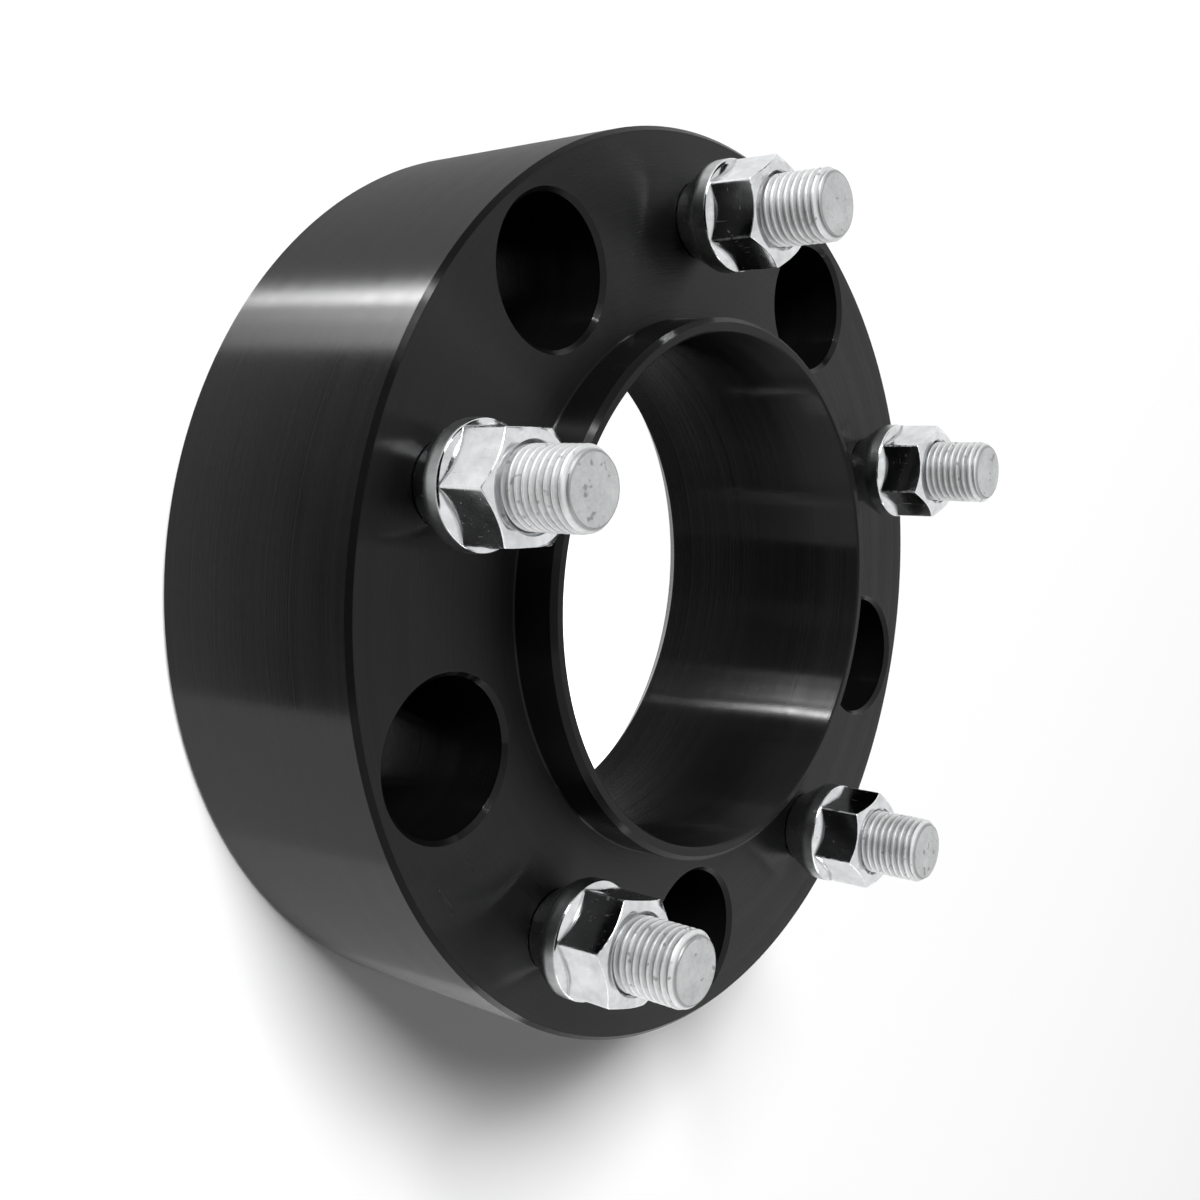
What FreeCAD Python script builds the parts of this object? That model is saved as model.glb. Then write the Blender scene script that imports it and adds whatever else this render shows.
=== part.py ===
import FreeCAD, Part
import Sketcher
import os
import re

# Hub-centric wheel spacer, bolt-on type, in millimetres.
# +Z is the wheel's axis. The hub face lies on z = 0 and the wheel studs point up.

NUMBER, MEANING = 0, 1

SIZES = {
    "bolt_circle": (150, "circle through the stud centres"),
    "stud_count": (5, "studs, and as many pockets between them"),
    "first_stud_angle": (90, "station of the first stud, degrees from +X"),
    "register_dia": (110, "hub register: the vehicle's hub and the wheel's centre hole"),
    "bore_clearance": (0.1, "hub bore over the vehicle's hub, on diameter"),
    "thickness": (50.8, "hub face to wheel face"),
    "rim_wall": (3.5, "metal outside a pocket"),
    "rim_chamfer": (0.9, "both rim edges"),
    "hub_lead_in": (4.5, "45 degree lead-in of the hub bore"),
    "register_length": (12, "hub face to the end of the straight hub bore, where its taper begins"),
    "lip_height": (9.5, "register lip above the wheel face"),
    "lip_wall": (2.8, "radial wall of the lip"),
    "lip_chamfer": (1.0, "outer edge of the lip"),
    "lip_edge_break": (0.4, "inner edge of the lip"),
    "lip_root": (0.3, "small relief where the lip meets the face"),
    "lip_shelf": (3, "depth of the narrow straight bore below the wheel face"),
    "pocket_dia": (28, "counterbore that takes a socket"),
    "pocket_chamfer": (0.9, "mouth of a pocket"),
    "pocket_floor": (16, "metal under a pocket"),
    "pocket_seat_dia": (22.5, "wide end of the conical nut seat"),
    "hub_stud_hole": (15, "clearance hole for the vehicle's stud"),
    "seat_angle": (60, "conical nut seats, included angle"),
    "thread_dia": (14, "wheel stud thread, major diameter"),
    "stud_hole_extra": (0.6, "hole that the knurl is pressed into, over the thread on diameter"),
    "stud_hole_chamfer": (0.4, "mouth of a stud hole on the wheel face"),
    "stud_stickout": (32.4, "stud above the wheel face"),
    "stud_grip": (23, "metal between the stud's head and the wheel face"),
    "stud_end_chamfer": (1.4, "free end of a stud"),
    "head_dia": (20.5, "stud head"),
    "head_thickness": (5, "stud head"),
    "head_chamfer": (0.6, "stud head, outer edge"),
    "head_recess_gap": (1.0, "radial room round a stud head"),
    "knurl_length": (11, "pressed length of a stud"),
    "press_gap": (0.02, "knurl to its hole, on radius"),
    "nut_across_flats": (19, "hexagon"),
    "nut_flange_extra": (0.15, "flange outside the hexagon's corners, on radius"),
    "nut_flange_length": (3.4, "round flange"),
    "nut_tip_extra": (0.1, "narrow end of the nut's cone over the stud hole, on radius"),
    "nut_hex_length": (10.4, "flange to the free end"),
    "nut_shoulder_inset": (0.6, "top of the 45 degree shoulder, inside the flats"),
    "nut_end_dia": (18.4, "flat end face inside the chamfer"),
    "nut_end_angle": (35, "chamfer on the hexagon's free end"),
    "nut_mouth_extra": (1.4, "countersink at the free end, over the thread on diameter"),
    "nut_thread_gap": (0.1, "nut bore to stud, on radius"),
    "nut_seat_gap": (0.15, "nut cone to the mouth of the stud hole, along the stud"),
    "nut_turn_1": (33, "one corner of the hexagon, degrees from +X"),
    "nut_turn_2": (59, "one corner of the hexagon, degrees from +X"),
    "nut_turn_3": (46, "one corner of the hexagon, degrees from +X"),
    "nut_turn_4": (15, "one corner of the hexagon, degrees from +X"),
    "nut_turn_5": (26, "one corner of the hexagon, degrees from +X"),
}
NUT_TURNS = 5

# Rotations that only set an axis: their angles come from the sheet.
AROUND_Z = FreeCAD.Rotation(FreeCAD.Vector(0, 0, 1), 1)
AROUND_SKETCH_UP = FreeCAD.Rotation(FreeCAD.Vector(0, 1, 0), 1)

# Sizes that follow from the ones above.
OUTER_R = "(bolt_circle + pocket_dia) / 2 + rim_wall"
LIP_R = "register_dia / 2"
LIP_BORE_R = "register_dia / 2 - lip_wall"
HUB_BORE_R = "(register_dia + bore_clearance) / 2"
LIP_TOP = "thickness + lip_height"
TAPER_TOP = "thickness - lip_shelf"
HEAD_SEAT_Z = "thickness - stud_grip"
PITCH_R = "bolt_circle / 2"
STUD_HOLE_R = "(thread_dia + stud_hole_extra) / 2"
NUT_CORNER_R = "nut_across_flats / 2 / cos(30)"
NUT_FLANGE_R = f"{NUT_CORNER_R} + nut_flange_extra"
NUT_BORE_R = "thread_dia / 2 + nut_thread_gap"
NUT_MOUTH_R = "(thread_dia + nut_mouth_extra) / 2"
NUT_TIP_R = f"({STUD_HOLE_R} + nut_tip_extra)"
NUT_CONE = f"({NUT_FLANGE_R} - {NUT_TIP_R}) / tan(seat_angle / 2)"
NUT_HEX_Z = f"{NUT_CONE} + nut_flange_length"
NUT_END_Z = f"{NUT_HEX_Z} + nut_hex_length"


def named(text):
    """Turn bare size names into references to the sheet."""
    def reference(match):
        word = match.group()
        return "Sizes." + word if word in SIZES else word
    return re.sub(r"[a-z][a-z_0-9]*", reference, text)


def make_sheet(doc):
    sheet = doc.addObject("Spreadsheet::Sheet", "Sizes")
    for row, (alias, entry) in enumerate(SIZES.items(), start=1):
        sheet.set(f"A{row}", str(entry[NUMBER]))
        sheet.set(f"B{row}", entry[MEANING])
        sheet.setAlias(f"A{row}", alias)
    doc.recompute()
    return sheet


def origin_feature(body, role):
    for feature in body.Origin.OriginFeatures:
        if feature.Role == role:
            return feature
    raise ValueError(role)


def add_sketch(body, name, role):
    sketch = body.newObject("Sketcher::SketchObject", name)
    sketch.AttachmentSupport = (origin_feature(body, role), [""])
    sketch.MapMode = "FlatFace"
    return sketch


def bind_point(sketch, curve, end, across, up):
    """Hold a curve's end at (across, up), both given as sizes from the origin."""
    for text, kind, axis in ((across, "DistanceX", -2), (up, "DistanceY", -1)):
        if text == "0":
            sketch.addConstraint(Sketcher.Constraint("PointOnObject", curve, end, axis))
            continue
        value = float(sketch.evalExpression(named(text)))
        index = sketch.addConstraint(Sketcher.Constraint(kind, -1, 1, curve, end, value))
        sketch.setExpression(f"Constraints[{index}]", named(text))


def add_outline(sketch, corners):
    """Draw a closed outline through corners, each an (across, up) pair of sizes."""
    points = []
    for across, up in corners:
        x = float(sketch.evalExpression(named(across)))
        y = float(sketch.evalExpression(named(up)))
        points.append(FreeCAD.Vector(x, y, 0))
    first = sketch.GeometryCount
    count = len(points)
    for i in range(count):
        sketch.addGeometry(Part.LineSegment(points[i], points[(i + 1) % count]), False)
    for i in range(count):
        following = first + (i + 1) % count
        sketch.addConstraint(Sketcher.Constraint("Coincident", first + i, 2, following, 1))
    for i, (across, up) in enumerate(corners):
        bind_point(sketch, first + i, 1, across, up)


def add_axis(sketch, across):
    """Draw a construction line parallel to Z for a cut to turn about."""
    x = float(sketch.evalExpression(named(across)))
    start = FreeCAD.Vector(x, 0, 0)
    line = sketch.addGeometry(Part.LineSegment(start, start + FreeCAD.Vector(0, 10, 0)), True)
    bind_point(sketch, line, 1, across, "0")
    bind_point(sketch, line, 2, across, "thickness")


def turn_about_z(sketch, angle):
    """Turn an upright sketch to a station round the Z axis."""
    sketch.AttachmentOffset = FreeCAD.Placement(FreeCAD.Vector(), AROUND_SKETCH_UP)
    sketch.setExpression("AttachmentOffset.Rotation.Angle", named(angle))


def revolve(body, name, sketch, kind="PartDesign::Revolution", axis="V_Axis"):
    feature = body.newObject(kind, name)
    feature.Profile = sketch
    feature.ReferenceAxis = (sketch, [axis])
    feature.Angle = 360
    return feature


def repeat_round(body, name, features):
    pattern = body.newObject("PartDesign::PolarPattern", name)
    pattern.Originals = features
    pattern.Axis = (origin_feature(body, "Z_Axis"), [""])
    pattern.Angle = 360
    pattern.setExpression("Occurrences", named("stud_count"))
    body.Tip = pattern
    return pattern


def place(body, station, z, turn):
    """Put a piece on its stud station."""
    angle = f"first_stud_angle + {station} * 360 / stud_count"
    body.Placement = FreeCAD.Placement(FreeCAD.Vector(), AROUND_Z)
    body.setExpression("Placement.Base.x", named(f"{PITCH_R} * cos({angle})"))
    body.setExpression("Placement.Base.y", named(f"{PITCH_R} * sin({angle})"))
    body.setExpression("Placement.Base.z", named(z))
    body.setExpression("Placement.Rotation.Angle", named(turn))


def add_turned_blank(body):
    """Ring, register lip and hub bore with its taper, turned in one profile."""
    sketch = add_sketch(body, "turned_profile", "XZ_Plane")
    add_outline(sketch, [
        (f"{HUB_BORE_R} + hub_lead_in", "0"),
        (f"{OUTER_R} - rim_chamfer", "0"),
        (OUTER_R, "rim_chamfer"),
        (OUTER_R, "thickness - rim_chamfer"),
        (f"{OUTER_R} - rim_chamfer", "thickness"),
        (f"{LIP_R} + lip_root", "thickness"),
        (LIP_R, "thickness + lip_root"),
        (LIP_R, f"{LIP_TOP} - lip_chamfer"),
        (f"{LIP_R} - lip_chamfer", LIP_TOP),
        (f"{LIP_BORE_R} + lip_edge_break", LIP_TOP),
        (LIP_BORE_R, f"{LIP_TOP} - lip_edge_break"),
        (LIP_BORE_R, TAPER_TOP),
        (HUB_BORE_R, "register_length"),
        (HUB_BORE_R, "hub_lead_in"),
    ])
    return revolve(body, "turned_blank", sketch)


def cut_stud_hole(body):
    """Stepped hole of one wheel stud: head recess, knurl hole and chamfered mouth."""
    sketch = add_sketch(body, "stud_hole_profile", "XZ_Plane")
    recess = "(head_dia / 2 + head_recess_gap)"
    add_outline(sketch, [
        (PITCH_R, "0"),
        (f"{PITCH_R} + {recess}", "0"),
        (f"{PITCH_R} + {recess}", HEAD_SEAT_Z),
        (f"{PITCH_R} + {STUD_HOLE_R}", HEAD_SEAT_Z),
        (f"{PITCH_R} + {STUD_HOLE_R}", "thickness - stud_hole_chamfer"),
        (f"{PITCH_R} + {STUD_HOLE_R} + stud_hole_chamfer", "thickness"),
        (PITCH_R, "thickness"),
    ])
    add_axis(sketch, PITCH_R)
    turn_about_z(sketch, "first_stud_angle")
    return revolve(body, "stud_hole", sketch, "PartDesign::Groove", "Axis0")


def cut_pocket(body):
    """Socket pocket with its conical nut seat and the vehicle stud's hole."""
    sketch = add_sketch(body, "pocket_profile", "XZ_Plane")
    hole = "hub_stud_hole / 2"
    seat = "pocket_seat_dia / 2"
    pocket = "pocket_dia / 2"
    seat_depth = "(pocket_seat_dia - hub_stud_hole) / 2 / tan(seat_angle / 2)"
    add_outline(sketch, [
        (PITCH_R, "0"),
        (f"{PITCH_R} + {hole}", "0"),
        (f"{PITCH_R} + {hole}", f"pocket_floor - {seat_depth}"),
        (f"{PITCH_R} + {seat}", "pocket_floor"),
        (f"{PITCH_R} + {pocket}", "pocket_floor"),
        (f"{PITCH_R} + {pocket}", "thickness - pocket_chamfer"),
        (f"{PITCH_R} + {pocket} + pocket_chamfer", "thickness"),
        (PITCH_R, "thickness"),
    ])
    add_axis(sketch, PITCH_R)
    turn_about_z(sketch, "first_stud_angle + 180 / stud_count")
    return revolve(body, "pocket", sketch, "PartDesign::Groove", "Axis0")


def make_spacer_body(doc):
    body = doc.addObject("PartDesign::Body", "spacer_body")
    body.Label = "spacer_body"
    body.Placement = FreeCAD.Placement()
    add_turned_blank(body)
    doc.recompute()
    stud_hole = cut_stud_hole(body)
    repeat_round(body, "stud_holes", [stud_hole])
    doc.recompute()
    pocket = cut_pocket(body)
    repeat_round(body, "pockets", [pocket])
    return body


def make_wheel_stud(doc, station):
    """Pressed stud. Its own z = 0 is the outer face of its head."""
    name = f"wheel_stud_{station + 1}"
    body = doc.addObject("PartDesign::Body", name)
    body.Label = name
    top = "head_thickness + stud_grip + stud_stickout"
    knurl = f"{STUD_HOLE_R} - press_gap"
    thread = "thread_dia / 2"
    sketch = add_sketch(body, name + "_profile", "XZ_Plane")
    add_outline(sketch, [
        ("0", "0"),
        ("head_dia / 2 - head_chamfer", "0"),
        ("head_dia / 2", "head_chamfer"),
        ("head_dia / 2", "head_thickness"),
        (knurl, "head_thickness"),
        (knurl, "head_thickness + knurl_length"),
        (thread, "head_thickness + knurl_length"),
        (thread, f"{top} - stud_end_chamfer"),
        (f"{thread} - stud_end_chamfer", top),
        ("0", top),
    ])
    revolve(body, name + "_turned", sketch)
    place(body, station, f"{HEAD_SEAT_Z} - head_thickness", "first_stud_angle")
    return body


def add_hexagon(sketch, radius):
    """Draw a hexagon with one corner on the X axis."""
    circle = sketch.addGeometry(Part.Circle(), True)
    size = float(sketch.evalExpression(named(radius)))
    corner = FreeCAD.Vector(size, 0, 0)
    points = []
    for i in range(6):
        turn = FreeCAD.Rotation(FreeCAD.Vector(0, 0, 1), 60 * i)
        points.append(turn.multVec(corner))
    sides = []
    for i in range(6):
        side = Part.LineSegment(points[i], points[(i + 1) % 6])
        sides.append(sketch.addGeometry(side, False))
    sketch.addConstraint(Sketcher.Constraint("Coincident", circle, 3, -1, 1))
    index = sketch.addConstraint(Sketcher.Constraint("Radius", circle, size))
    sketch.setExpression(f"Constraints[{index}]", named(radius))
    for i in range(6):
        sketch.addConstraint(Sketcher.Constraint("Coincident", sides[i], 2, sides[(i + 1) % 6], 1))
        sketch.addConstraint(Sketcher.Constraint("PointOnObject", sides[i], 1, circle))
    for i in range(1, 6):
        sketch.addConstraint(Sketcher.Constraint("Equal", sides[0], sides[i]))
    sketch.addConstraint(Sketcher.Constraint("PointOnObject", sides[0], 1, -1))


def add_round_hole(sketch, radius):
    size = float(sketch.evalExpression(named(radius)))
    circle = Part.Circle(FreeCAD.Vector(), FreeCAD.Vector(0, 0, 1), size)
    hole = sketch.addGeometry(circle, False)
    sketch.addConstraint(Sketcher.Constraint("Coincident", hole, 3, -1, 1))
    index = sketch.addConstraint(Sketcher.Constraint("Radius", hole, size))
    sketch.setExpression(f"Constraints[{index}]", named(radius))


def make_lug_nut(doc, station):
    """Open nut with a conical seat. Its own z = 0 is the narrow end of the cone."""
    name = f"lug_nut_{station + 1}"
    body = doc.addObject("PartDesign::Body", name)
    body.Label = name
    # The shoulder rises at 45 degrees from the flange to inside the flats.
    shoulder = "(nut_across_flats / 2 - nut_shoulder_inset)"
    shoulder_z = f"{NUT_HEX_Z} + {NUT_FLANGE_R} - {shoulder}"

    round_part = add_sketch(body, name + "_round_profile", "XZ_Plane")
    add_outline(round_part, [
        (NUT_BORE_R, "0"),
        (NUT_TIP_R, "0"),
        (NUT_FLANGE_R, NUT_CONE),
        (NUT_FLANGE_R, NUT_HEX_Z),
        (shoulder, shoulder_z),
        (NUT_BORE_R, shoulder_z),
    ])
    revolve(body, name + "_cone_and_flange", round_part)
    doc.recompute()

    hexagon = add_sketch(body, name + "_hexagon", "XY_Plane")
    hexagon.setExpression("AttachmentOffset.Base.z", named(NUT_HEX_Z))
    add_hexagon(hexagon, NUT_CORNER_R)
    add_round_hole(hexagon, NUT_BORE_R)
    prism = body.newObject("PartDesign::Pad", name + "_prism")
    prism.Profile = hexagon
    prism.Length = 10
    prism.setExpression("Length", named("nut_hex_length"))
    doc.recompute()

    wide = f"({NUT_CORNER_R} + nut_flange_extra)"
    fall = f"({wide} - nut_end_dia / 2) * tan(nut_end_angle)"
    end_cuts = add_sketch(body, name + "_end_profile", "XZ_Plane")
    add_outline(end_cuts, [
        ("nut_end_dia / 2", NUT_END_Z),
        (wide, NUT_END_Z),
        (wide, f"{NUT_END_Z} - {fall}"),
    ])
    add_outline(end_cuts, [
        (NUT_BORE_R, NUT_END_Z),
        (NUT_MOUTH_R, NUT_END_Z),
        (NUT_BORE_R, f"{NUT_END_Z} - ({NUT_MOUTH_R} - ({NUT_BORE_R}))"),
    ])
    revolve(body, name + "_end_cuts", end_cuts, "PartDesign::Groove")

    # The narrow end of the cone stops in the chamfered mouth of the stud hole.
    reach = "(stud_hole_chamfer - nut_tip_extra)"
    turn = f"nut_turn_{station % NUT_TURNS + 1}"
    place(body, station, f"thickness - {reach} + nut_seat_gap", turn)
    return body


def check(doc):
    for item in doc.Objects:
        if "Invalid" in item.State or "Error" in item.State:
            raise RuntimeError(f"{item.Name} failed: {item.State}")


def export(bodies):
    os.makedirs("parts", exist_ok=True)
    for body in bodies:
        shape = body.Shape
        if shape.isNull() or not shape.isValid() or len(shape.Solids) != 1:
            raise RuntimeError(f"{body.Label} is not one valid solid")
        shape.exportStep(f"parts/{body.Label}.step")


def main():
    doc = FreeCAD.newDocument("wheel_spacer")
    sheet = make_sheet(doc)
    bodies = [make_spacer_body(doc)]
    for station in range(int(sheet.stud_count)):
        bodies.append(make_wheel_stud(doc, station))
    for station in range(int(sheet.stud_count)):
        bodies.append(make_lug_nut(doc, station))
    doc.recompute()
    check(doc)
    export(bodies)


main()
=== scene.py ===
import math
import bpy
import numpy as np
from mathutils import Matrix, Quaternion, Vector
from mathutils.geometry import delaunay_2d_cdt


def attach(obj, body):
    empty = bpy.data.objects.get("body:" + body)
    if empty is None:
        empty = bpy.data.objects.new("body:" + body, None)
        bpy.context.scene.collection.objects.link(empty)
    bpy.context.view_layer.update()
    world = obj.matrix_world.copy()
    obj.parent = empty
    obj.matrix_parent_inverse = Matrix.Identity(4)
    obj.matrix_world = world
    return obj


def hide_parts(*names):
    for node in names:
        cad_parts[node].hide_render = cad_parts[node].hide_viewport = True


# Hub-centric wheel spacer: its black turned ring, its threaded studs and its chrome nuts.
# Forms are worked out in millimetres and stored in metres. +Z is the wheel's axis, and z = 0 is
# the hub face, on which the part stands. Turns are in degrees from +X.

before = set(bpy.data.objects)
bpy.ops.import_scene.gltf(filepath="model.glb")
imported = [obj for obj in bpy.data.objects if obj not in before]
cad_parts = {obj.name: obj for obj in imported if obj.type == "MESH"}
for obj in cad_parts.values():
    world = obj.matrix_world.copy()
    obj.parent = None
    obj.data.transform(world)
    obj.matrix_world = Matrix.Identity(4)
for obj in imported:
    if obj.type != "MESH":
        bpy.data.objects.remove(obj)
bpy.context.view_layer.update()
MM = 0.001

# Sizes that the CAD source has too.
STATIONS = 5
STATION_STEP = 360 / STATIONS
PITCH_R = 75.0
FIRST_STUD = 90.0
THICKNESS = 50.8
RIM_R, RIM_CHAMFER = 92.5, 0.9
REGISTER_R, REGISTER_TOP, LEAD_IN = 55.05, 12.0, 4.5
LIP_R, LIP_TOP, LIP_CHAMFER, LIP_ROOT = 55.0, 60.3, 1.0, 0.3
LIP_BORE_R, LIP_EDGE_BREAK, TAPER_TOP = 52.2, 0.4, 47.8
STUD_HOLE_R, STUD_HOLE_CHAMFER = 7.3, 0.4
HEAD_RECESS_R = 11.25
POCKET_R, POCKET_CHAMFER, POCKET_FLOOR = 14.0, 0.9, 16.0
SEAT_R, SEAT_HALF_ANGLE, HUB_HOLE_R = 11.25, 30.0, 7.5
HEAD_R, HEAD_CHAMFER, HEAD_FOOT, HEAD_SEAT = 10.25, 0.6, 22.8, 27.8
KNURL_R, KNURL_TOP = 7.28, 38.8
THREAD_R, THREAD_PITCH, STUD_TOP = 7.0, 1.5, 83.2
NUT_FOOT, CONE_TOP, FLANGE_TOP, NUT_TOP = 50.65, 6.44, 9.84, 20.24
HALF_FLATS, FLANGE_R, NUT_TIP_R, NUT_END_R = 9.5, 11.12, 7.4, 9.2
NUT_BORE_R, NUT_MOUTH_R, NUT_END_ANGLE = 7.1, 7.7, 35.0
NUT_TURNS = (33.0, 59.0, 46.0, 15.0, 26.0)


def on_bolt_circle(degrees):
    turn = math.radians(degrees)
    return PITCH_R * math.cos(turn), PITCH_R * math.sin(turn)


def link(obj):
    bpy.context.scene.collection.objects.link(obj)
    return obj


# ---------- mesh helpers ----------

def unit(v):
    return v / np.linalg.norm(v, axis=-1, keepdims=True)


def rounded(corners, steps=3):
    """Points and normals along a profile whose corners carry a radius: (across, up, radius).

    Each corner gives steps + 1 points. The first and the last only give the profile's direction.
    Three corners in line have no bend to round, so no profile has them.
    """
    points, normals = [], []
    for i in range(1, len(corners) - 1):
        a, b, c = (np.array(corners[k][:2], float) for k in (i - 1, i, i + 1))
        radius = corners[i][2]
        d0, d1 = unit(b - a), unit(c - b)
        n0, n1 = np.array([d0[1], -d0[0]]), np.array([d1[1], -d1[0]])
        turn = math.acos(max(-1.0, min(1.0, float(d0 @ d1))))
        reach = radius * math.tan(turn / 2)
        side = 1 if d0[0] * d1[1] - d0[1] * d1[0] > 0 else -1
        centre = b - side * unit(n0 + n1) * (radius / math.cos(turn / 2))
        for k in range(steps + 1):
            t = k / steps
            n = unit(n0 * math.sin((1 - t) * turn) + n1 * math.sin(t * turn))
            if k == 0:
                at = b - d0 * reach
            elif k == steps:
                at = b + d1 * reach
            else:
                at = centre + side * n * radius
            points.append(at)
            normals.append(n)
    return np.array(points), np.array(normals)


class Shell:
    """A closed mesh put together from rings of points with their own normals."""

    def __init__(self):
        self.points, self.normals, self.faces, self.looks = [], [], [], []
        self.count = 0

    def add(self, at, normal):
        """Add a ring of points and give back their numbers."""
        first = self.count
        self.points.append(at)
        self.normals.append(normal)
        self.count += len(at)
        return np.arange(first, self.count)

    def ring(self, radius, height, n_across, n_up, segments, centre=(0.0, 0.0)):
        angle = np.arange(segments) * 2 * math.pi / segments
        c, s = np.cos(angle), np.sin(angle)
        at = np.stack([centre[0] + radius * c, centre[1] + radius * s, height + 0 * c], 1)
        normal = np.stack([n_across * c, n_across * s, n_up + 0 * c], 1)
        return self.add(at, normal)

    def turned(self, points, normals, segments, centre=(0.0, 0.0)):
        """Rings of a profile turned about an upright axis."""
        return [self.ring(p[0], p[1], n[0], n[1], segments, centre)
                for p, n in zip(points, normals)]

    def bridge(self, low, high, look):
        self.faces += np.stack([low, np.roll(low, -1), np.roll(high, -1), high], 1).tolist()
        self.looks += [look] * len(low)

    def chain(self, rings, look):
        for low, high in zip(rings, rings[1:]):
            self.bridge(low, high, look)

    def cap(self, ring, look):
        self.faces.append(ring.tolist())
        self.looks.append(look)

    def flat(self, outer, holes, up, look):
        """Fill a level face between one outer ring and the rings of its holes."""
        at = np.concatenate(self.points)
        loops = [outer] + holes
        where = np.concatenate(loops)
        edges, first = [], 0
        for loop in loops:
            edges += [(first + k, first + (k + 1) % len(loop)) for k in range(len(loop))]
            first += len(loop)
        plan = [Vector(at[i][:2]) for i in where]
        # Kind 0 fills the whole outline, so the triangles that lie in a hole are left out below.
        kind, merge = 0, 1e-6
        _, _, triangles, origins, _, _ = delaunay_2d_cdt(plan, edges, [], kind, merge)
        back = [int(where[ids[0]]) for ids in origins]
        discs = []
        for hole in holes:
            centre = at[hole][:, :2].mean(0)
            discs.append((centre, np.linalg.norm(at[hole][0, :2] - centre)))
        reach = np.linalg.norm(at[outer[0]][:2])
        for triangle in triangles:
            face = [back[k] for k in triangle]
            middle = np.mean([at[k][:2] for k in face], axis=0)
            outside = np.linalg.norm(middle) > reach
            if outside or any(np.linalg.norm(middle - c) < r for c, r in discs):
                continue
            a, b, c = (at[k] for k in face)
            lies_up = np.cross(b - a, c - a)[2] > 0
            self.faces.append(face if lies_up == up else face[::-1])
            self.looks.append(look)

    def make(self, name, materials):
        mesh = bpy.data.meshes.new(name)
        at = np.concatenate(self.points) * MM
        mesh.from_pydata(at.tolist(), [], self.faces)
        mesh.polygons.foreach_set("use_smooth", [True] * len(self.faces))
        slots = {material.name: slot for slot, material in enumerate(materials)}
        mesh.polygons.foreach_set("material_index", [slots[look.name] for look in self.looks])
        mesh.normals_split_custom_set_from_vertices(unit(np.concatenate(self.normals)).tolist())
        for material in materials:
            mesh.materials.append(material)
        mesh.update()
        return link(bpy.data.objects.new(name, mesh))


def soft_min(a, b, k):
    """The lesser of two values, blended where they differ by less than k."""
    h = np.maximum(k - np.abs(a - b), 0) / k
    return np.minimum(a, b) - h * h * k / 4


def soft_max(a, b, k):
    return -soft_min(-a, -b, k)


def wall(shape, heights, segments, turn=0.0):
    """Points and normals of an upright wall whose radius is shape(angle, height)."""
    angles, levels = np.meshgrid(np.arange(segments) * 2 * math.pi / segments, heights)
    step = 1e-3
    radius = shape(angles, levels)
    by_angle = (shape(angles + step, levels) - shape(angles - step, levels)) / (2 * step)
    by_height = (shape(angles, levels + step) - shape(angles, levels - step)) / (2 * step)
    c, s = np.cos(angles + turn), np.sin(angles + turn)
    at = np.stack([radius * c, radius * s, levels], 2)
    side = by_angle / radius
    return at, unit(np.stack([c + side * s, s - side * c, -by_height], 2))


# ---------- procedural finishes ----------

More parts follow.
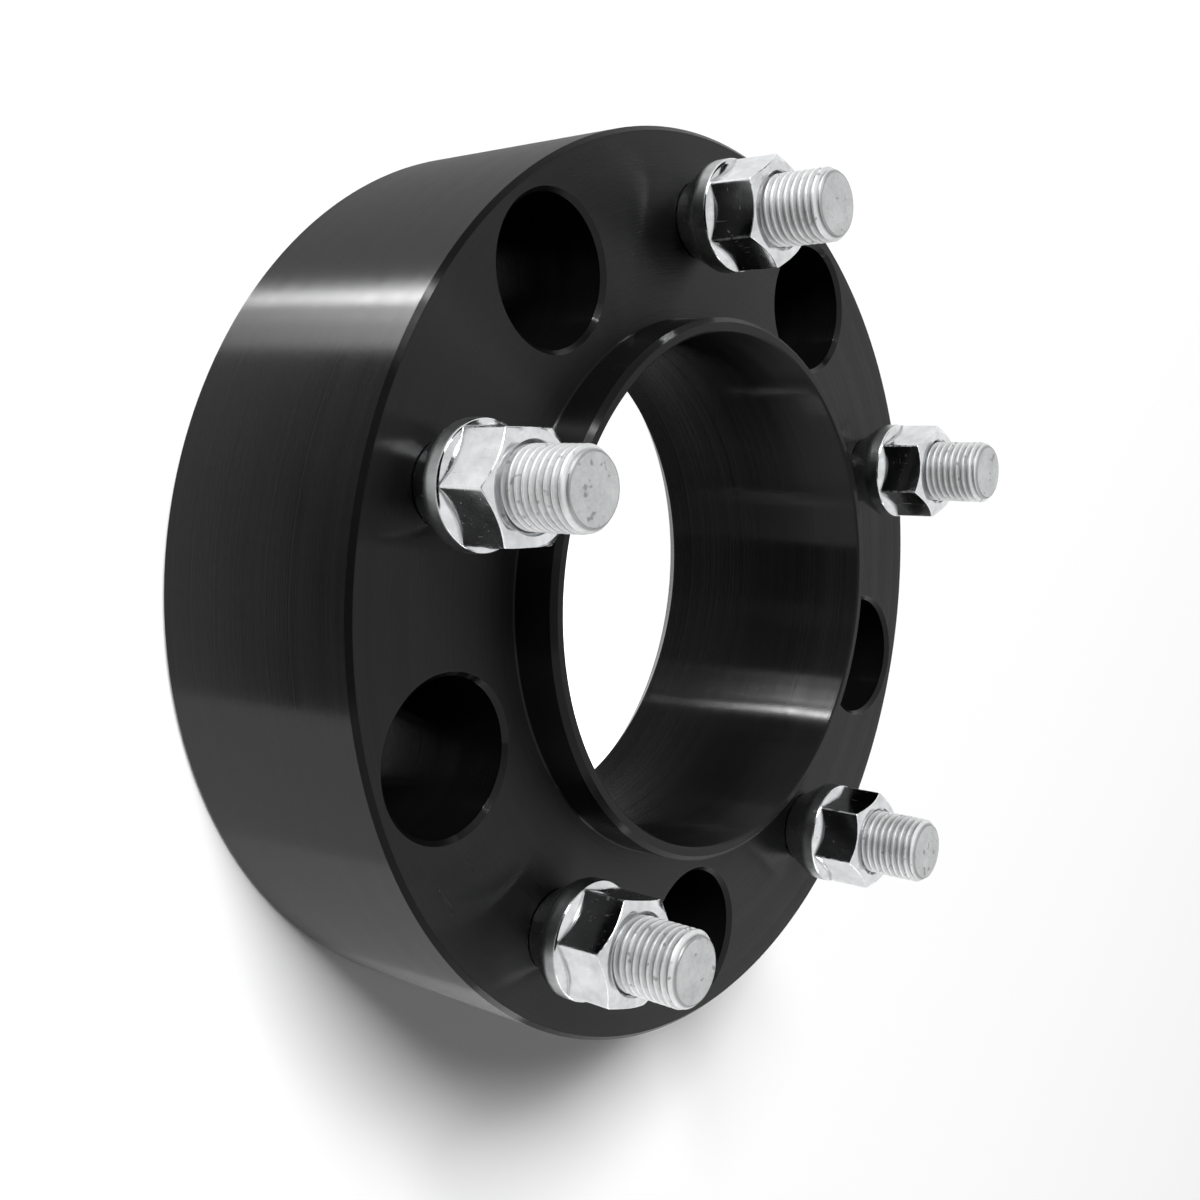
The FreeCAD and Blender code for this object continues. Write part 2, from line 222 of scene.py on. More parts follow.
class Nodes:
    """Short ways to add and join the shader nodes of a material or of the world."""

    def __init__(self, owner, output):
        self.owner = owner
        owner.use_nodes = True
        self.nodes, self.links = owner.node_tree.nodes, owner.node_tree.links
        self.nodes.clear()
        self.out = self.node(output)

    def node(self, kind, settings=None, **inputs):
        made = self.nodes.new(kind)
        for key, value in (settings or {}).items():
            setattr(made, key, value)
        for key, value in inputs.items():
            self.put(made.inputs[key.replace("_", " ")], value)
        return made

    def put(self, socket, value):
        if isinstance(value, bpy.types.NodeSocket):
            self.links.new(value, socket)
        else:
            socket.default_value = value

    def fill(self, made, *values):
        for socket, value in zip(made.inputs, values):
            self.put(socket, value)
        return made.outputs[0]

    def math(self, operation, a, b=0.0, clamp=False):
        made = self.node("ShaderNodeMath", {"operation": operation, "use_clamp": clamp})
        return self.fill(made, a, b)

    def add(self, a, b):
        return self.math("ADD", a, b)

    def less(self, a, b):
        return self.math("SUBTRACT", a, b)

    def times(self, a, b):
        return self.math("MULTIPLY", a, b)

    def most(self, a, b, clamp=False):
        return self.math("MAXIMUM", a, b, clamp)

    def parts(self, a, share_a, b, share_b):
        return self.add(self.times(a, share_a), self.times(b, share_b))

    def length(self, x, y):
        return self.math("SQRT", self.add(self.times(x, x), self.times(y, y)))

    def ramp(self, value, low, high, out_low=0.0, out_high=1.0):
        return self.fill(self.node("ShaderNodeMapRange"), value, low, high, out_low, out_high)

    def band(self, value, rise, fall):
        """1 between two limits, each with the values where its ramp starts and ends."""
        return self.times(self.ramp(value, *rise), self.ramp(value, *fall, 1.0, 0.0))

    def noise(self, vector, scale, detail, roughness, flat=False):
        """Noise that changes scale times in a metre, along a single number if it is flat."""
        made = self.node("ShaderNodeTexNoise", {"noise_dimensions": "1D" if flat else "3D"},
                         Scale=scale, Detail=detail, Roughness=roughness)
        self.put(made.inputs["W" if flat else "Vector"], vector)
        return made.outputs[0]

    def blend(self, share, a, b):
        made = self.node("ShaderNodeMix", {"data_type": "RGBA"})
        self.put(made.inputs[0], share)
        self.put(made.inputs[6], a)
        self.put(made.inputs[7], b)
        return made.outputs[2]

    def vector(self, operation, a, b=(0.0, 0.0, 0.0)):
        return self.fill(self.node("ShaderNodeVectorMath", {"operation": operation}), a, b)

    def scaled(self, vector, factor):
        made = self.node("ShaderNodeVectorMath", {"operation": "SCALE"}, Scale=factor)
        return self.fill(made, vector)

    def join(self, x, y, z):
        return self.fill(self.node("ShaderNodeCombineXYZ"), x, y, z)

    def split(self, vector):
        return self.node("ShaderNodeSeparateXYZ", Vector=vector).outputs

    def place(self):
        return self.node("ShaderNodeTexCoord").outputs["Object"]

    def normal(self):
        return self.node("ShaderNodeNewGeometry").outputs["Normal"]

    def attribute(self, name):
        return self.node("ShaderNodeAttribute", {"attribute_name": name}).outputs["Fac"]

    def seen(self):
        """1 for a ray of the camera or of a reflection, 0 for the light that falls on things."""
        path = self.node("ShaderNodeLightPath").outputs
        return self.most(self.most(path["Is Camera Ray"], path["Is Glossy Ray"]),
                         path["Is Transmission Ray"])

    def from_axis(self, x, y, step):
        """Coordinates seen from the nearest axis of the bolt circle, one every step degrees."""
        angle = self.math("ARCTAN2", y, x)
        turn = math.radians(step)
        first = math.radians(FIRST_STUD % step)
        count = self.math("ROUND", self.math("DIVIDE", self.less(angle, first), turn))
        near = self.add(self.times(count, turn), first)
        far = PITCH_R * MM
        return (self.less(x, self.times(self.math("COSINE", near), far)),
                self.less(y, self.times(self.math("SINE", near), far)))

    def done(self, shader):
        self.put(self.out.inputs["Surface"], shader)
        return self.owner

    def metal(self, colour, rough, height, bump_strength, bump_distance):
        """End as bare metal with a fine relief."""
        bump = self.node("ShaderNodeBump", Strength=bump_strength, Distance=bump_distance,
                         Height=height)
        skin = self.node("ShaderNodeBsdfPrincipled", Base_Color=colour, Roughness=rough,
                         Normal=bump.outputs[0], Metallic=1.0)
        return self.done(skin.outputs[0])


def finish(name):
    return Nodes(bpy.data.materials.new(name), "ShaderNodeOutputMaterial")


def colour(red, green, blue):
    return (red, green, blue, 1.0)


WHITE = colour(1.0, 1.0, 1.0)
# Dark grey for painted shade in the thread roots and in the nuts' crease, for dark pits, and for
# a darker ring at the stud's end.
SPECK_AND_SHADE_GREY = colour(0.13, 0.13, 0.135)
ANODISED = colour(0.0016, 0.0016, 0.001616), colour(0.0045, 0.0045, 0.004545)
ZINC_END = colour(0.45, 0.455, 0.46), colour(0.61, 0.615, 0.62)
ZINC_SIDE = colour(0.62, 0.625, 0.63), colour(0.80, 0.805, 0.81)
CHROME_FLATS = colour(0.55, 0.56, 0.57), colour(0.78, 0.79, 0.80)
# Darker chrome of the flange's side, a painted reflection of dark surroundings.
CHROME_TURNED_PAINTED_DARK = colour(0.26, 0.27, 0.27), colour(0.44, 0.45, 0.45)
CHROME_MARK = colour(0.45, 0.45, 0.46)
# Lighter chrome of worn edges, partly a painted highlight.
CHROME_WORN_AND_GLINT = colour(0.86, 0.87, 0.88)


def turned_black(name, groove, gloss, rough_range, lean_up=0.0, bored=False):
    """Black anodised aluminium with the fine rings that turning leaves.

    groove is how far the rings lean, lean_up how far walls are tipped towards the light, and
    bored centres the rings on the nearest hole.
    """
    f = finish(name)
    at = f.place()
    x, y, z = f.split(at)
    if bored:
        x, y = f.from_axis(x, y, STATION_STEP / 2)
    # The rings are read along the profile: from the radius on faces, from the height on walls.
    along = f.add(f.length(x, y), z)
    hair = f.noise(along, 9000.0, 1.0, 0.6, flat=True)
    fine = f.noise(along, 2800.0, 2.0, 0.6, flat=True)
    broad = f.noise(along, 260.0, 2.0, 0.5, flat=True)
    cloud = f.noise(at, 38.0, 3.0, 0.55)
    speck = f.noise(at, 1100.0, 2.0, 0.6)
    tone = f.ramp(f.parts(fine, 0.55, cloud, 0.45), 0.3, 0.7)
    rough = f.ramp(f.parts(cloud, 0.5, broad, 0.5), 0.3, 0.7, *rough_range)
    # Each ring leans a little along the profile, as the flanks of the tool marks do.
    normal = f.normal()
    circle = f.vector("NORMALIZE", f.join(f.times(y, -1.0), x, 0.0))
    profile = f.vector("CROSS_PRODUCT", normal, circle)
    lean = f.add(f.times(f.less(hair, 0.5), groove),
                 f.parts(f.less(fine, 0.5), groove * 0.12, f.less(speck, 0.5), 0.05))
    level = f.math("ABSOLUTE", f.split(normal)[2])
    upright = f.math("SUBTRACT", 1.0, level, clamp=True)
    moved = f.vector("ADD", normal, f.scaled(profile, lean))
    moved = f.vector("ADD", moved, f.join(0.0, 0.0, f.times(upright, lean_up)))
    skin = f.node("ShaderNodeBsdfPrincipled", Base_Color=f.blend(tone, *ANODISED),
                  Roughness=rough, Specular_IOR_Level=gloss, Anisotropic=1.0,
                  Anisotropic_Rotation=0.25, Tangent=circle,
                  Normal=f.vector("NORMALIZE", moved))
    return f.done(skin.outputs[0])


def zinc(name):
    """Satin zinc plating over rolled threads."""
    f = finish(name)
    at = f.place()
    cloud = f.noise(at, 240.0, 4.0, 0.6)
    speck = f.noise(at, 1500.0, 2.0, 0.5)
    pit = f.ramp(f.noise(at, 620.0, 1.0, 0.5), 0.66, 0.74)
    tone = f.ramp(f.parts(cloud, 0.7, speck, 0.3), 0.3, 0.7)
    x, y, z = f.split(at)
    radius = f.length(*f.from_axis(x, y, STATION_STEP))
    side = f.ramp(f.split(f.normal())[2], 0.93, 0.98, 1.0, 0.0)
    plate = f.blend(side, f.blend(tone, *ZINC_END), f.blend(tone, *ZINC_SIDE))
    # Painted shade darkens the thread's root, where the flanks shade each other; dark pits are
    # mixed in, and an uneven darker ring at the edge of the end face.
    root = f.times(f.ramp(radius, 0.00610, 0.00642, 0.62, 0.0), side)
    edge = f.band(radius, (0.00573, 0.00581), (0.00587, 0.00595))
    edge = f.times(f.times(edge, f.ramp(z, 0.0830, 0.0831)),
                   f.ramp(cloud, 0.35, 0.6, 0.2, 0.9))
    specks_and_shade = f.most(f.most(f.times(pit, 0.55), root), edge)
    return f.metal(f.blend(specks_and_shade, plate, SPECK_AND_SHADE_GREY), f.ramp(tone, 0.0, 1.0, 0.58, 0.46),
                   f.add(cloud, f.times(speck, 0.5)), 0.25, 0.00008)


def chrome(name):
    """Bright chrome with hairline scratches, dull specks, worn edges lightened partly as a
    painted highlight, painted shade in the crease at the foot of the flats, and a turned flange
    darkened as a painted reflection.
    """
    f = finish(name)
    at = f.place()
    stretched = f.node("ShaderNodeMapping", Vector=at, Rotation=(0.4, 0.9, 0.3),
                       Scale=(1.0, 1.0, 0.06)).outputs[0]
    crossed = f.node("ShaderNodeMapping", Vector=at, Rotation=(1.9, 0.2, 1.1),
                     Scale=(1.0, 0.07, 1.0)).outputs[0]
    hair = f.ramp(f.noise(stretched, 4200.0, 1.0, 0.4), 0.70, 0.80)
    cross = f.ramp(f.noise(crossed, 3600.0, 1.0, 0.4), 0.71, 0.80)
    speck = f.ramp(f.noise(at, 700.0, 2.0, 0.6), 0.68, 0.76)
    marks = f.most(f.most(hair, cross), speck, clamp=True)
    cloud = f.noise(at, 130.0, 3.0, 0.5)
    patch = f.ramp(f.parts(cloud, 0.6, f.noise(at, 420.0, 3.0, 0.6), 0.4), 0.36, 0.64)
    # Worn edges, which also carry a painted highlight.
    worn_and_glint = f.times(f.attribute("worn_edge_and_glint"),
                   f.ramp(f.noise(at, 900.0, 2.0, 0.6), 0.35, 0.6, 0.3, 1.0))
    # Painted shade where the flats meet the shoulder.
    crease_shade = f.times(f.attribute("crease_shade"), f.ramp(cloud, 0.35, 0.65, 0.45, 0.9))
    # The flange's side is turned, and duller than the flats; its colour is darkened as a painted
    # reflection of dark surroundings.
    flange = f.band(f.split(at)[2], (0.0566, 0.0574), (0.0600, 0.0604))
    rough = f.add(f.ramp(cloud, 0.35, 0.7, 0.10, 0.17), f.times(marks, 0.20))
    rough = f.add(rough, f.times(f.most(worn_and_glint, crease_shade), 0.35))
    rough = f.add(rough, f.times(flange, 0.18))
    tone = f.blend(f.times(marks, 0.5), f.blend(patch, *CHROME_FLATS), CHROME_MARK)
    # Worn edges, lightened partly as a painted highlight along them.
    tone = f.blend(worn_and_glint, tone, CHROME_WORN_AND_GLINT)
    # Painted shade in the crease at the foot of the flats.
    tone = f.blend(crease_shade, tone, SPECK_AND_SHADE_GREY)
    # Painted reflection: the flange's side is darker.
    tone = f.blend(flange, tone, f.blend(patch, *CHROME_TURNED_PAINTED_DARK))
    return f.metal(tone, rough, f.add(cloud, f.times(marks, -0.4)), 0.12, 0.00006)


FACED = turned_black("black_anodised_faced", 0.9, 0.23, (0.27, 0.33))
RIM = turned_black("black_anodised_rim", 0.7, 0.55, (0.22, 0.27), lean_up=0.5)
CHAMFER = turned_black("black_anodised_chamfer", 0.3, 0.11, (0.20, 0.26))
LIP = turned_black("black_anodised_lip", 0.3, 0.16, (0.20, 0.25))
BORE = turned_black("black_anodised_bore", 0.8, 0.26, (0.17, 0.21), lean_up=0.5)
BORED = turned_black("black_anodised_bored", 0.25, 0.20, (0.12, 0.18), bored=True)
ZINC = zinc("zinc_plated")
CHROME = chrome("chrome_plated")


# ---------- the ring ----------

RING_SEGMENTS, STUD_HOLE_SEGMENTS, POCKET_SEGMENTS = 320, 96, 128
EDGE = 0.12          # radius of a broken edge
TAPER_BEND = 120.0   # radius that blends the bore's taper at both ends

# From the hub face round the rim, over the lip and down the bore.
RING_PROFILE = [
    (REGISTER_R + LEAD_IN, 0, EDGE), (RIM_R - RIM_CHAMFER, 0, EDGE), (RIM_R, RIM_CHAMFER, EDGE),
    (RIM_R, THICKNESS - RIM_CHAMFER, EDGE), (RIM_R - RIM_CHAMFER, THICKNESS, EDGE),
    (LIP_R + LIP_ROOT, THICKNESS, 0.08), (LIP_R, THICKNESS + LIP_ROOT, 0.08),
    (LIP_R, LIP_TOP - LIP_CHAMFER, EDGE), (LIP_R - LIP_CHAMFER, LIP_TOP, EDGE),
    (LIP_BORE_R + LIP_EDGE_BREAK, LIP_TOP, 0.1), (LIP_BORE_R, LIP_TOP - LIP_EDGE_BREAK, 0.1),
    (LIP_BORE_R, TAPER_TOP, TAPER_BEND), (REGISTER_R, REGISTER_TOP, TAPER_BEND),
    (REGISTER_R, LEAD_IN, EDGE)]

# Finish of the bands between the rings of that profile, four rings to a corner. The wheel face,
# which is filled flat between its holes, takes the place of one band.
RING_BANDS = [RIM] * 10 + [CHAMFER] * 6 + [LIP] * 23 + [BORE] * 16
WHEEL_FACE_BAND = 15

STUD_HOLE_PROFILE = [
    (12, THICKNESS, 0), (STUD_HOLE_R + STUD_HOLE_CHAMFER, THICKNESS, 0.08),
    (STUD_HOLE_R, THICKNESS - STUD_HOLE_CHAMFER, 0.08), (STUD_HOLE_R, HEAD_SEAT, 0.1),
    (HEAD_RECESS_R, HEAD_SEAT, 0.1), (HEAD_RECESS_R, 0, 0.15), (16, 0, 0)]

SEAT_DEPTH = (SEAT_R - HUB_HOLE_R) / math.tan(math.radians(SEAT_HALF_ANGLE))
POCKET_PROFILE = [
    (20, THICKNESS, 0), (POCKET_R + POCKET_CHAMFER, THICKNESS, 0.12),
    (POCKET_R, THICKNESS - POCKET_CHAMFER, 0.12), (POCKET_R, POCKET_FLOOR, 0.15),
    (SEAT_R, POCKET_FLOOR, 0.12), (HUB_HOLE_R, POCKET_FLOOR - SEAT_DEPTH, 0.12),
    (HUB_HOLE_R, 0, 0.15), (12, 0, 0)]


def ring_body():
    shell = Shell()
    rings = shell.turned(*rounded(RING_PROFILE + RING_PROFILE[:2]), RING_SEGMENTS)
    for band, (low, high) in enumerate(zip(rings, rings[1:])):
        if band != WHEEL_FACE_BAND:
            shell.bridge(low, high, RING_BANDS[band])
    fronts, backs = [], []
    for k in range(STATIONS):
        station = FIRST_STUD + STATION_STEP * k
        for profile, segments, turn in (
                (STUD_HOLE_PROFILE, STUD_HOLE_SEGMENTS, station),
                (POCKET_PROFILE, POCKET_SEGMENTS, station + STATION_STEP / 2)):
            hole = shell.turned(*rounded(profile), segments, on_bolt_circle(turn))
            shell.chain(hole, BORED)
            fronts.append(hole[0])
            backs.append(hole[-1])
    shell.flat(rings[WHEEL_FACE_BAND], [rings[WHEEL_FACE_BAND + 1]] + fronts, True, FACED)
    shell.flat(rings[0], [rings[-1]] + backs, False, FACED)
    obj = shell.make("spacer_body_finish", [FACED, BORED, RIM, BORE, LIP, CHAMFER])
    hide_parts("spacer_body")
    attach(obj, "root")


# ---------- studs ----------

STUD_SEGMENTS = 112
THREAD_DEPTH = 0.92
THREAD_ROWS = 20                          # rings of the mesh in one pitch
CREST, FLANK = 0.13, 0.29                 # half a crest and one flank, in pitches
CREST_SOFT, ROOT_SOFT, LEAD_SOFT = 0.16, 0.2, 0.3
THREAD_FOOT, SHANK_R = 69.4, 6.95         # where the modelled thread starts, inside the nut
THREAD_START, NEXT_START = 69.0, 0.3      # each stud's thread starts a little higher
STUD_CHAMFER, STUD_END_R = 1.15, 5.87
END_EDGE_WIDTH, END_EDGE_DROP = 0.12, 0.05
END_FACE_RINGS = (4.2, 2.4, 0.8)

STUD_FOOT_PROFILE = [
    (0, HEAD_FOOT, 0), (HEAD_R - HEAD_CHAMFER, HEAD_FOOT, 0.3),
    (HEAD_R, HEAD_FOOT + HEAD_CHAMFER, 0.3), (HEAD_R, HEAD_SEAT, 0.12), (KNURL_R, HEAD_SEAT, 0.1),
    (KNURL_R, KNURL_TOP, 0.15), (SHANK_R, KNURL_TOP, 0.1), (SHANK_R, THREAD_FOOT, 0)]


def thread_shape(start):
    def shape(angle, z):
        turn = (z - start) / THREAD_PITCH - angle / (2 * math.pi)
        off = np.abs(turn - np.round(turn))
        root = soft_min((off - CREST) / FLANK, 1.0, ROOT_SOFT)
        cut = soft_max(root, 0.0, CREST_SOFT)
        lead = THREAD_R - (z - (STUD_TOP - STUD_CHAMFER))
        return soft_min(THREAD_R - THREAD_DEPTH * cut, lead, LEAD_SOFT)
    return shape


def stud(number, centre):
    shell = Shell()
    rings = shell.turned(*rounded(STUD_FOOT_PROFILE), STUD_SEGMENTS, centre)
    heights = np.arange(THREAD_FOOT, STUD_TOP - 0.1, THREAD_PITCH / THREAD_ROWS)
    at, normal = wall(thread_shape(THREAD_START + NEXT_START * number), heights, STUD_SEGMENTS)
    at[:, :, 0] += centre[0]
    at[:, :, 1] += centre[1]
    rings += [shell.add(*row) for row in zip(at, normal)]
    # The end: a small soft edge between the chamfer and the flat face.
    for share in (0.0, 0.3, 0.6, 1.0):
        lean = math.radians(45 + 45 * share)
        radius = STUD_END_R + END_EDGE_WIDTH * (1 - share)
        height = STUD_TOP - END_EDGE_DROP * (1 - share) ** 2
        rings.append(shell.ring(radius, height, math.cos(lean), math.sin(lean),
                                STUD_SEGMENTS, centre))
    for radius in END_FACE_RINGS:
        rings.append(shell.ring(radius, STUD_TOP, 0, 1, STUD_SEGMENTS, centre))
    shell.chain(rings, ZINC)
    shell.cap(rings[-1], ZINC)
    shell.cap(rings[0][::-1], ZINC)
    obj = shell.make(f"threaded_stud_{number + 1}", [ZINC])
    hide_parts(f"wheel_stud_{number + 1}")
    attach(obj, "root")


# ---------- nuts ----------

NUT_SEGMENTS = 240
SHOULDER, HOLLOW = 1.62, 0.28    # depth of the 45 degree shoulder, and how far it is hollowed
HEX_FOOT = CONE_TOP + 1.2        # no hexagon shows below this height
CORNER_SOFT, FLANGE_SOFT, CONE_SOFT, EDGE_SOFT = 0.03, 0.55, 0.6, 0.22
# Widths and heights of the worn edges, which also carry a painted highlight, and of the painted
# shade in the crease at the foot of the flats.
CORNER_WEAR_AND_GLINT, END_WEAR_AND_GLINT, CREASE_SHADE_WIDTH = 0.035, 0.22, 0.45
CREASE_SHADE_FROM, CREASE_SHADE_TO, END_WEAR_AND_GLINT_FROM = FLANGE_TOP - 0.3, 12.0, 15.0

# Heights of the wall's rings, close together where the form bends: from, to, count.
NUT_ROWS = ((0.15, 5.6, 6), (5.9, 7.1, 9), (7.6, 9.0, 4), (9.15, 12.2, 36), (12.7, 18.3, 8),
            (18.5, 20.06, 20))

# Soft edge between the lead cone and the flat end: radius, depth and the normal's two parts.
NUT_END_EDGE = ((9.33, 0.09, 0.57, 0.82), (9.25, 0.045, 0.42, 0.91), (9.12, 0.01, 0.2, 0.98),
                (8.9, 0.0, 0, 1))

NUT_BORE_PROFILE = [
    (NUT_END_R, NUT_TOP, 0), (NUT_MOUTH_R, NUT_TOP, 0.1),
    (NUT_BORE_R, NUT_TOP - (NUT_MOUTH_R - NUT_BORE_R), 0.1), (NUT_BORE_R, 0, 0.1),
    (NUT_TIP_R, 0, 0.08), (NUT_TIP_R + 0.2, 0.35, 0)]


def hexagon(angle):
    """Radius of the six flats, with corners a little rounded, and how near a corner is."""
    sector = np.mod(angle, math.pi / 3) - math.pi / 6
    near, beside = np.cos(sector), np.cos(math.pi / 3 - np.abs(sector))
    corner = np.clip(1 - np.abs(near - beside) / CORNER_WEAR_AND_GLINT, 0, 1)
    return HALF_FLATS / soft_max(near, beside, CORNER_SOFT), corner


def shoulder(z):
    rise = (z - FLANGE_TOP) / SHOULDER
    return FLANGE_R - SHOULDER * rise - HOLLOW * np.clip(rise * (1 - rise) * 4, 0, 1)


def lead_cone(z):
    return NUT_END_R + (NUT_TOP - z) / math.tan(math.radians(NUT_END_ANGLE))


def nut_shape(angle, z):
    cone = NUT_TIP_R + z * math.tan(math.radians(SEAT_HALF_ANGLE))
    flange = soft_min(soft_min(FLANGE_R, shoulder(z), FLANGE_SOFT), cone, CONE_SOFT)
    body = soft_max(flange, hexagon(angle)[0], EDGE_SOFT)
    return soft_min(np.where(z < HEX_FOOT, flange, body), lead_cone(z), EDGE_SOFT)


def nut_wear_glint_and_shade(angle, z):
    """Where the nut's edges are worn dull and lightened as a painted highlight, and where painted
    shade darkens the crease at the foot of its flats.
    """
    across, corner = hexagon(angle)
    on_flats = (shoulder(z) < across) & (lead_cone(z) > across)
    end_edge = np.clip(1 - np.abs(lead_cone(z) - across) / END_WEAR_AND_GLINT, 0, 1) * (z > END_WEAR_AND_GLINT_FROM)
    at_foot = (z > CREASE_SHADE_FROM) * (z < CREASE_SHADE_TO)
    crease_shade = np.clip(1 - np.abs(shoulder(z) - across) / CREASE_SHADE_WIDTH, 0, 1) * at_foot
    return np.maximum(corner * on_flats, end_edge), crease_shade


def nut(number, centre):
    shell = Shell()
    turn = math.radians(NUT_TURNS[number])
    heights = np.concatenate([np.linspace(*row) for row in NUT_ROWS])
    at, normal = wall(nut_shape, heights, NUT_SEGMENTS, turn)
    at += np.array([centre[0], centre[1], NUT_FOOT])
    outside = [shell.add(*row) for row in zip(at, normal)]
    inside = [shell.ring(radius, NUT_TOP - depth + NUT_FOOT, n_across, n_up, NUT_SEGMENTS, centre)
              for radius, depth, n_across, n_up in NUT_END_EDGE]
    points, normals = rounded(NUT_BORE_PROFILE)
    inside += shell.turned(points + np.array([0, NUT_FOOT]), normals, NUT_SEGMENTS, centre)
    # The turned rings start at angle 0 and the wall at the hexagon's own turn, so their points
    # are matched.
    shift = int(round(turn / (2 * math.pi) * NUT_SEGMENTS))
    rings = outside + [np.roll(ring, -shift) for ring in inside]
    shell.chain(rings + rings[:1], CHROME)
    obj = shell.make(f"flanged_nut_{number + 1}", [CHROME])
    # The wall's points come first in the mesh, and only they carry the worn edges with their
    # painted highlight and the crease's painted shade.
    angle, height = np.meshgrid(np.arange(NUT_SEGMENTS) * 2 * math.pi / NUT_SEGMENTS, heights)
    for name, share in zip(("worn_edge_and_glint", "crease_shade"), nut_wear_glint_and_shade(angle, height)):
        values = np.zeros(len(obj.data.vertices), dtype=np.float32)
        values[:share.size] = share.ravel()
        obj.data.attributes.new(name, "FLOAT", "POINT").data.foreach_set("value", values)
    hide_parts(f"lug_nut_{number + 1}")
    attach(obj, "root")


ring_body()
for k in range(STATIONS):
    spot = on_bolt_circle(FIRST_STUD + STATION_STEP * k)
    stud(k, spot)
    nut(k, spot)


# ---------- floor, light and camera ----------

FLOOR_HALF, FLOOR_DROP = 8.0, 0.0002     # metres
# Distances over which the floor glows white as painted light, under the bore and under a hole
# where the ring shades it, and far out.
UNDER_BORE, UNDER_HOLE, FAR_OUT = (0.062, 0.066), (0.0085, 0.0095), (0.9, 4.0)
ROOM_LIGHT = 0.12                        # even light of the room on the part
KEY_SIZE, KEY_RADIANCE = (3.2, 2.9), 33.0
STRIP_TILT = 8.5

# Lamps that only the gloss of the ring and nuts shows: name, place, size, tilt, radiance.
STRIPS = (
    ("strip_low", (-0.305, 0.520, 0.080), (0.025, 0.15), STRIP_TILT, 60.0),
    ("strip_high", (-0.264, 0.538, 0.275), (0.025, 0.24), STRIP_TILT, 75.0),
    ("strip_soft_0", (-0.325, 0.505, 0.21), (0.03, 0.38), STRIP_TILT, 13.0),
    ("strip_soft_1", (-0.362, 0.485, 0.21), (0.05, 0.38), STRIP_TILT, 7.0),
    ("strip_soft_2", (-0.415, 0.45, 0.21), (0.08, 0.38), STRIP_TILT, 3.5),
    ("strip_soft_3", (-0.49, 0.38, 0.21), (0.12, 0.38), STRIP_TILT, 2.0),
    ("strip_foot", (0.0, -0.42, 0.05), (0.09, 0.09), 0.0, 6.0),
    ("strip_foot_soft", (-0.157, -0.389, 0.05), (0.26, 0.09), 0.0, 1.2))

LENS_MM, SENSOR_MM = 40.996, 36.0
LENS_SHIFT = (-0.02269, -0.03028)
# The fitted view, from the middle of the wheel face: right, up, backwards, and where it stands.
VIEW_RIGHT = Vector((0.62255296, -0.00137597, 0.78257646))
VIEW_UP = Vector((0.07699702, 0.99525419, -0.05950254))
VIEW_BACK = Vector((-0.77878063, 0.09729954, 0.61970439))
VIEW_FROM = Vector((-0.2300675, 0.0325977, 0.1649935))
VIEW_TURN = 0.37                         # degrees, brings the first stud onto +Y


def add_floor():
    mesh = bpy.data.meshes.new("floor")
    mesh.from_pydata([(x * FLOOR_HALF, y * FLOOR_HALF, -FLOOR_DROP)
                      for x, y in ((-1, -1), (1, -1), (1, 1), (-1, 1))], [], [(0, 1, 2, 3)])
    floor = link(bpy.data.objects.new("floor", mesh))
    f = finish("floor_white")
    paint = f.node("ShaderNodeBsdfDiffuse", Color=colour(0.9, 0.9, 0.9))
    # To the camera and in reflections the floor glows white under the bore and under the pockets'
    # holes, painted light over the shade that the ring casts there; it is plain paint round the
    # part, and glows white again towards the horizon.
    x, y, _ = f.split(f.place())
    radius = f.length(x, y)
    aside = f.length(*f.from_axis(x, y, STATION_STEP / 2))
    level = f.add(f.ramp(radius, *UNDER_BORE, 1.0, 0.04), f.ramp(radius, *FAR_OUT, 0.0, 0.9))
    level = f.most(level, f.ramp(aside, *UNDER_HOLE, 1.0, 0.0))
    glow = f.node("ShaderNodeEmission", Color=WHITE, Strength=f.times(f.seen(), level))
    both = f.fill(f.node("ShaderNodeAddShader"), paint.outputs[0], glow.outputs[0])
    mesh.materials.append(f.done(both))


def add_world():
    """White to the camera and in reflections, and a weak even light on the part."""
    world = bpy.data.worlds.new("studio")
    bpy.context.scene.world = world
    f = Nodes(world, "ShaderNodeOutputWorld")
    room = f.node("ShaderNodeBackground", Color=WHITE, Strength=ROOM_LIGHT)
    white = f.node("ShaderNodeBackground", Color=WHITE, Strength=1.0)
    f.done(f.fill(f.node("ShaderNodeMixShader"), f.seen(), room.outputs[0], white.outputs[0]))


def soft_box(name, at, aim, size, radiance):
    """A rectangular lamp whose face has the given radiance."""
    lamp = bpy.data.lights.new(name, "AREA")
    lamp.shape = "RECTANGLE"
    lamp.size, lamp.size_y = size
    lamp.energy = radiance * math.pi * size[0] * size[1]
    obj = link(bpy.data.objects.new(name, lamp))
    obj.location = at
    obj.rotation_mode = "QUATERNION"
    obj.rotation_quaternion = (Vector(aim) - Vector(at)).to_track_quat("-Z", "Y")
    obj.visible_camera = False
    return obj


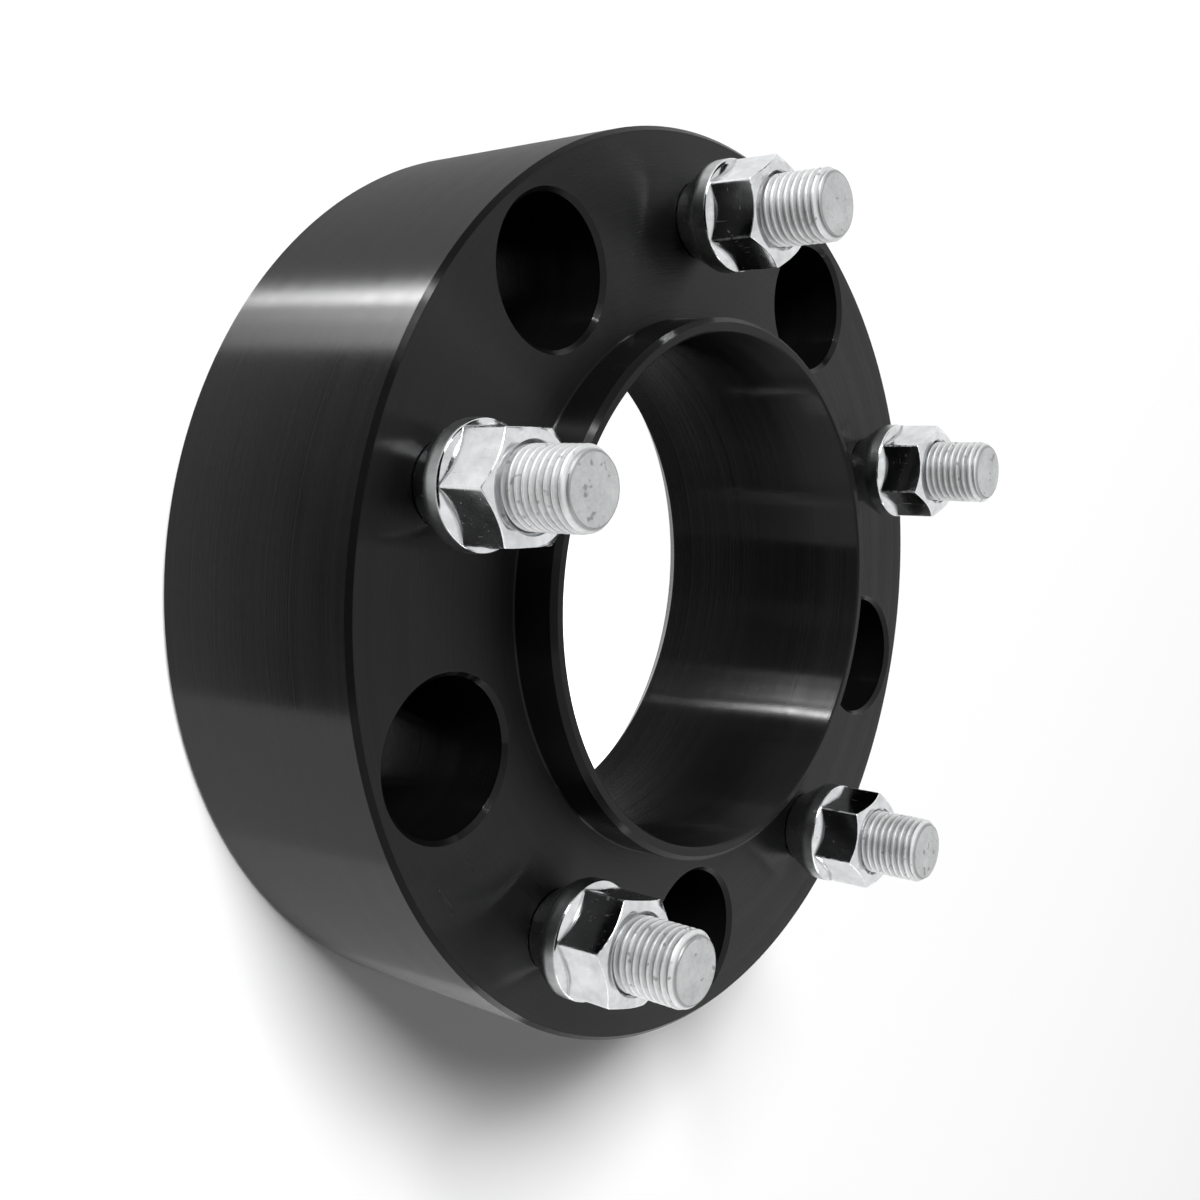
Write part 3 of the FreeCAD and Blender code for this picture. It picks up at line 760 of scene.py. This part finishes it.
def strip(name, at, size, tilt, radiance):
    """A lamp beside the part that faces its axis, and that only its gloss shows."""
    obj = soft_box(name, at, (0.0, 0.0, at[2]), size, radiance)
    obj.rotation_quaternion = obj.rotation_quaternion @ Quaternion((0, 0, 1), math.radians(tilt))
    obj.visible_diffuse = False


def dark_card(name, corners):
    """A black card that only reflections show, as a studio uses round glossy things."""
    mesh = bpy.data.meshes.new(name)
    mesh.from_pydata(corners, [], [(0, 1, 2, 3)])
    card = link(bpy.data.objects.new(name, mesh))
    f = finish(name + "_black")
    black = f.node("ShaderNodeBsdfDiffuse", Color=colour(0.004, 0.004, 0.004))
    mesh.materials.append(f.done(black.outputs[0]))
    card.visible_camera = card.visible_shadow = card.visible_diffuse = False


def polar(azimuth, elevation, distance):
    a, e = math.radians(azimuth), math.radians(elevation)
    return (distance * math.cos(a) * math.cos(e), distance * math.sin(a) * math.cos(e),
            distance * math.sin(e))


def add_camera():
    data = bpy.data.cameras.new("camera")
    data.sensor_width, data.lens = SENSOR_MM, LENS_MM
    data.shift_x, data.shift_y = LENS_SHIFT
    data.clip_start, data.clip_end = 0.01, 50.0
    obj = link(bpy.data.objects.new("camera", data))
    turn = Matrix.Rotation(math.radians(VIEW_TURN), 3, "Z")
    axes = Matrix((turn @ VIEW_RIGHT, turn @ VIEW_UP, turn @ VIEW_BACK)).transposed()
    where = turn @ VIEW_FROM + Vector((0, 0, THICKNESS * MM))
    obj.matrix_world = Matrix.Translation(where) @ axes.to_4x4()
    bpy.context.scene.camera = obj


add_floor()
add_world()
key_place = polar(azimuth=119, elevation=43, distance=8.0)
key = soft_box("key", key_place, (0, 0, 0), KEY_SIZE, KEY_RADIANCE)
key.visible_glossy = False
for lamp in STRIPS:
    strip(*lamp)
dark_card("studio_dark_far", [(-0.24, 0.57, 0.19), (0.30, 0.57, 0.19),
                              (0.30, 0.57, 0.38), (-0.24, 0.57, 0.38)])
dark_card("studio_dark", [(-0.255, -0.088, 0.0), (-0.255, -0.088, 0.26),
                          (-0.255, 0.262, 0.26), (-0.255, 0.262, 0.0)])
add_camera()

bpy.context.scene.view_settings.view_transform = "Standard"
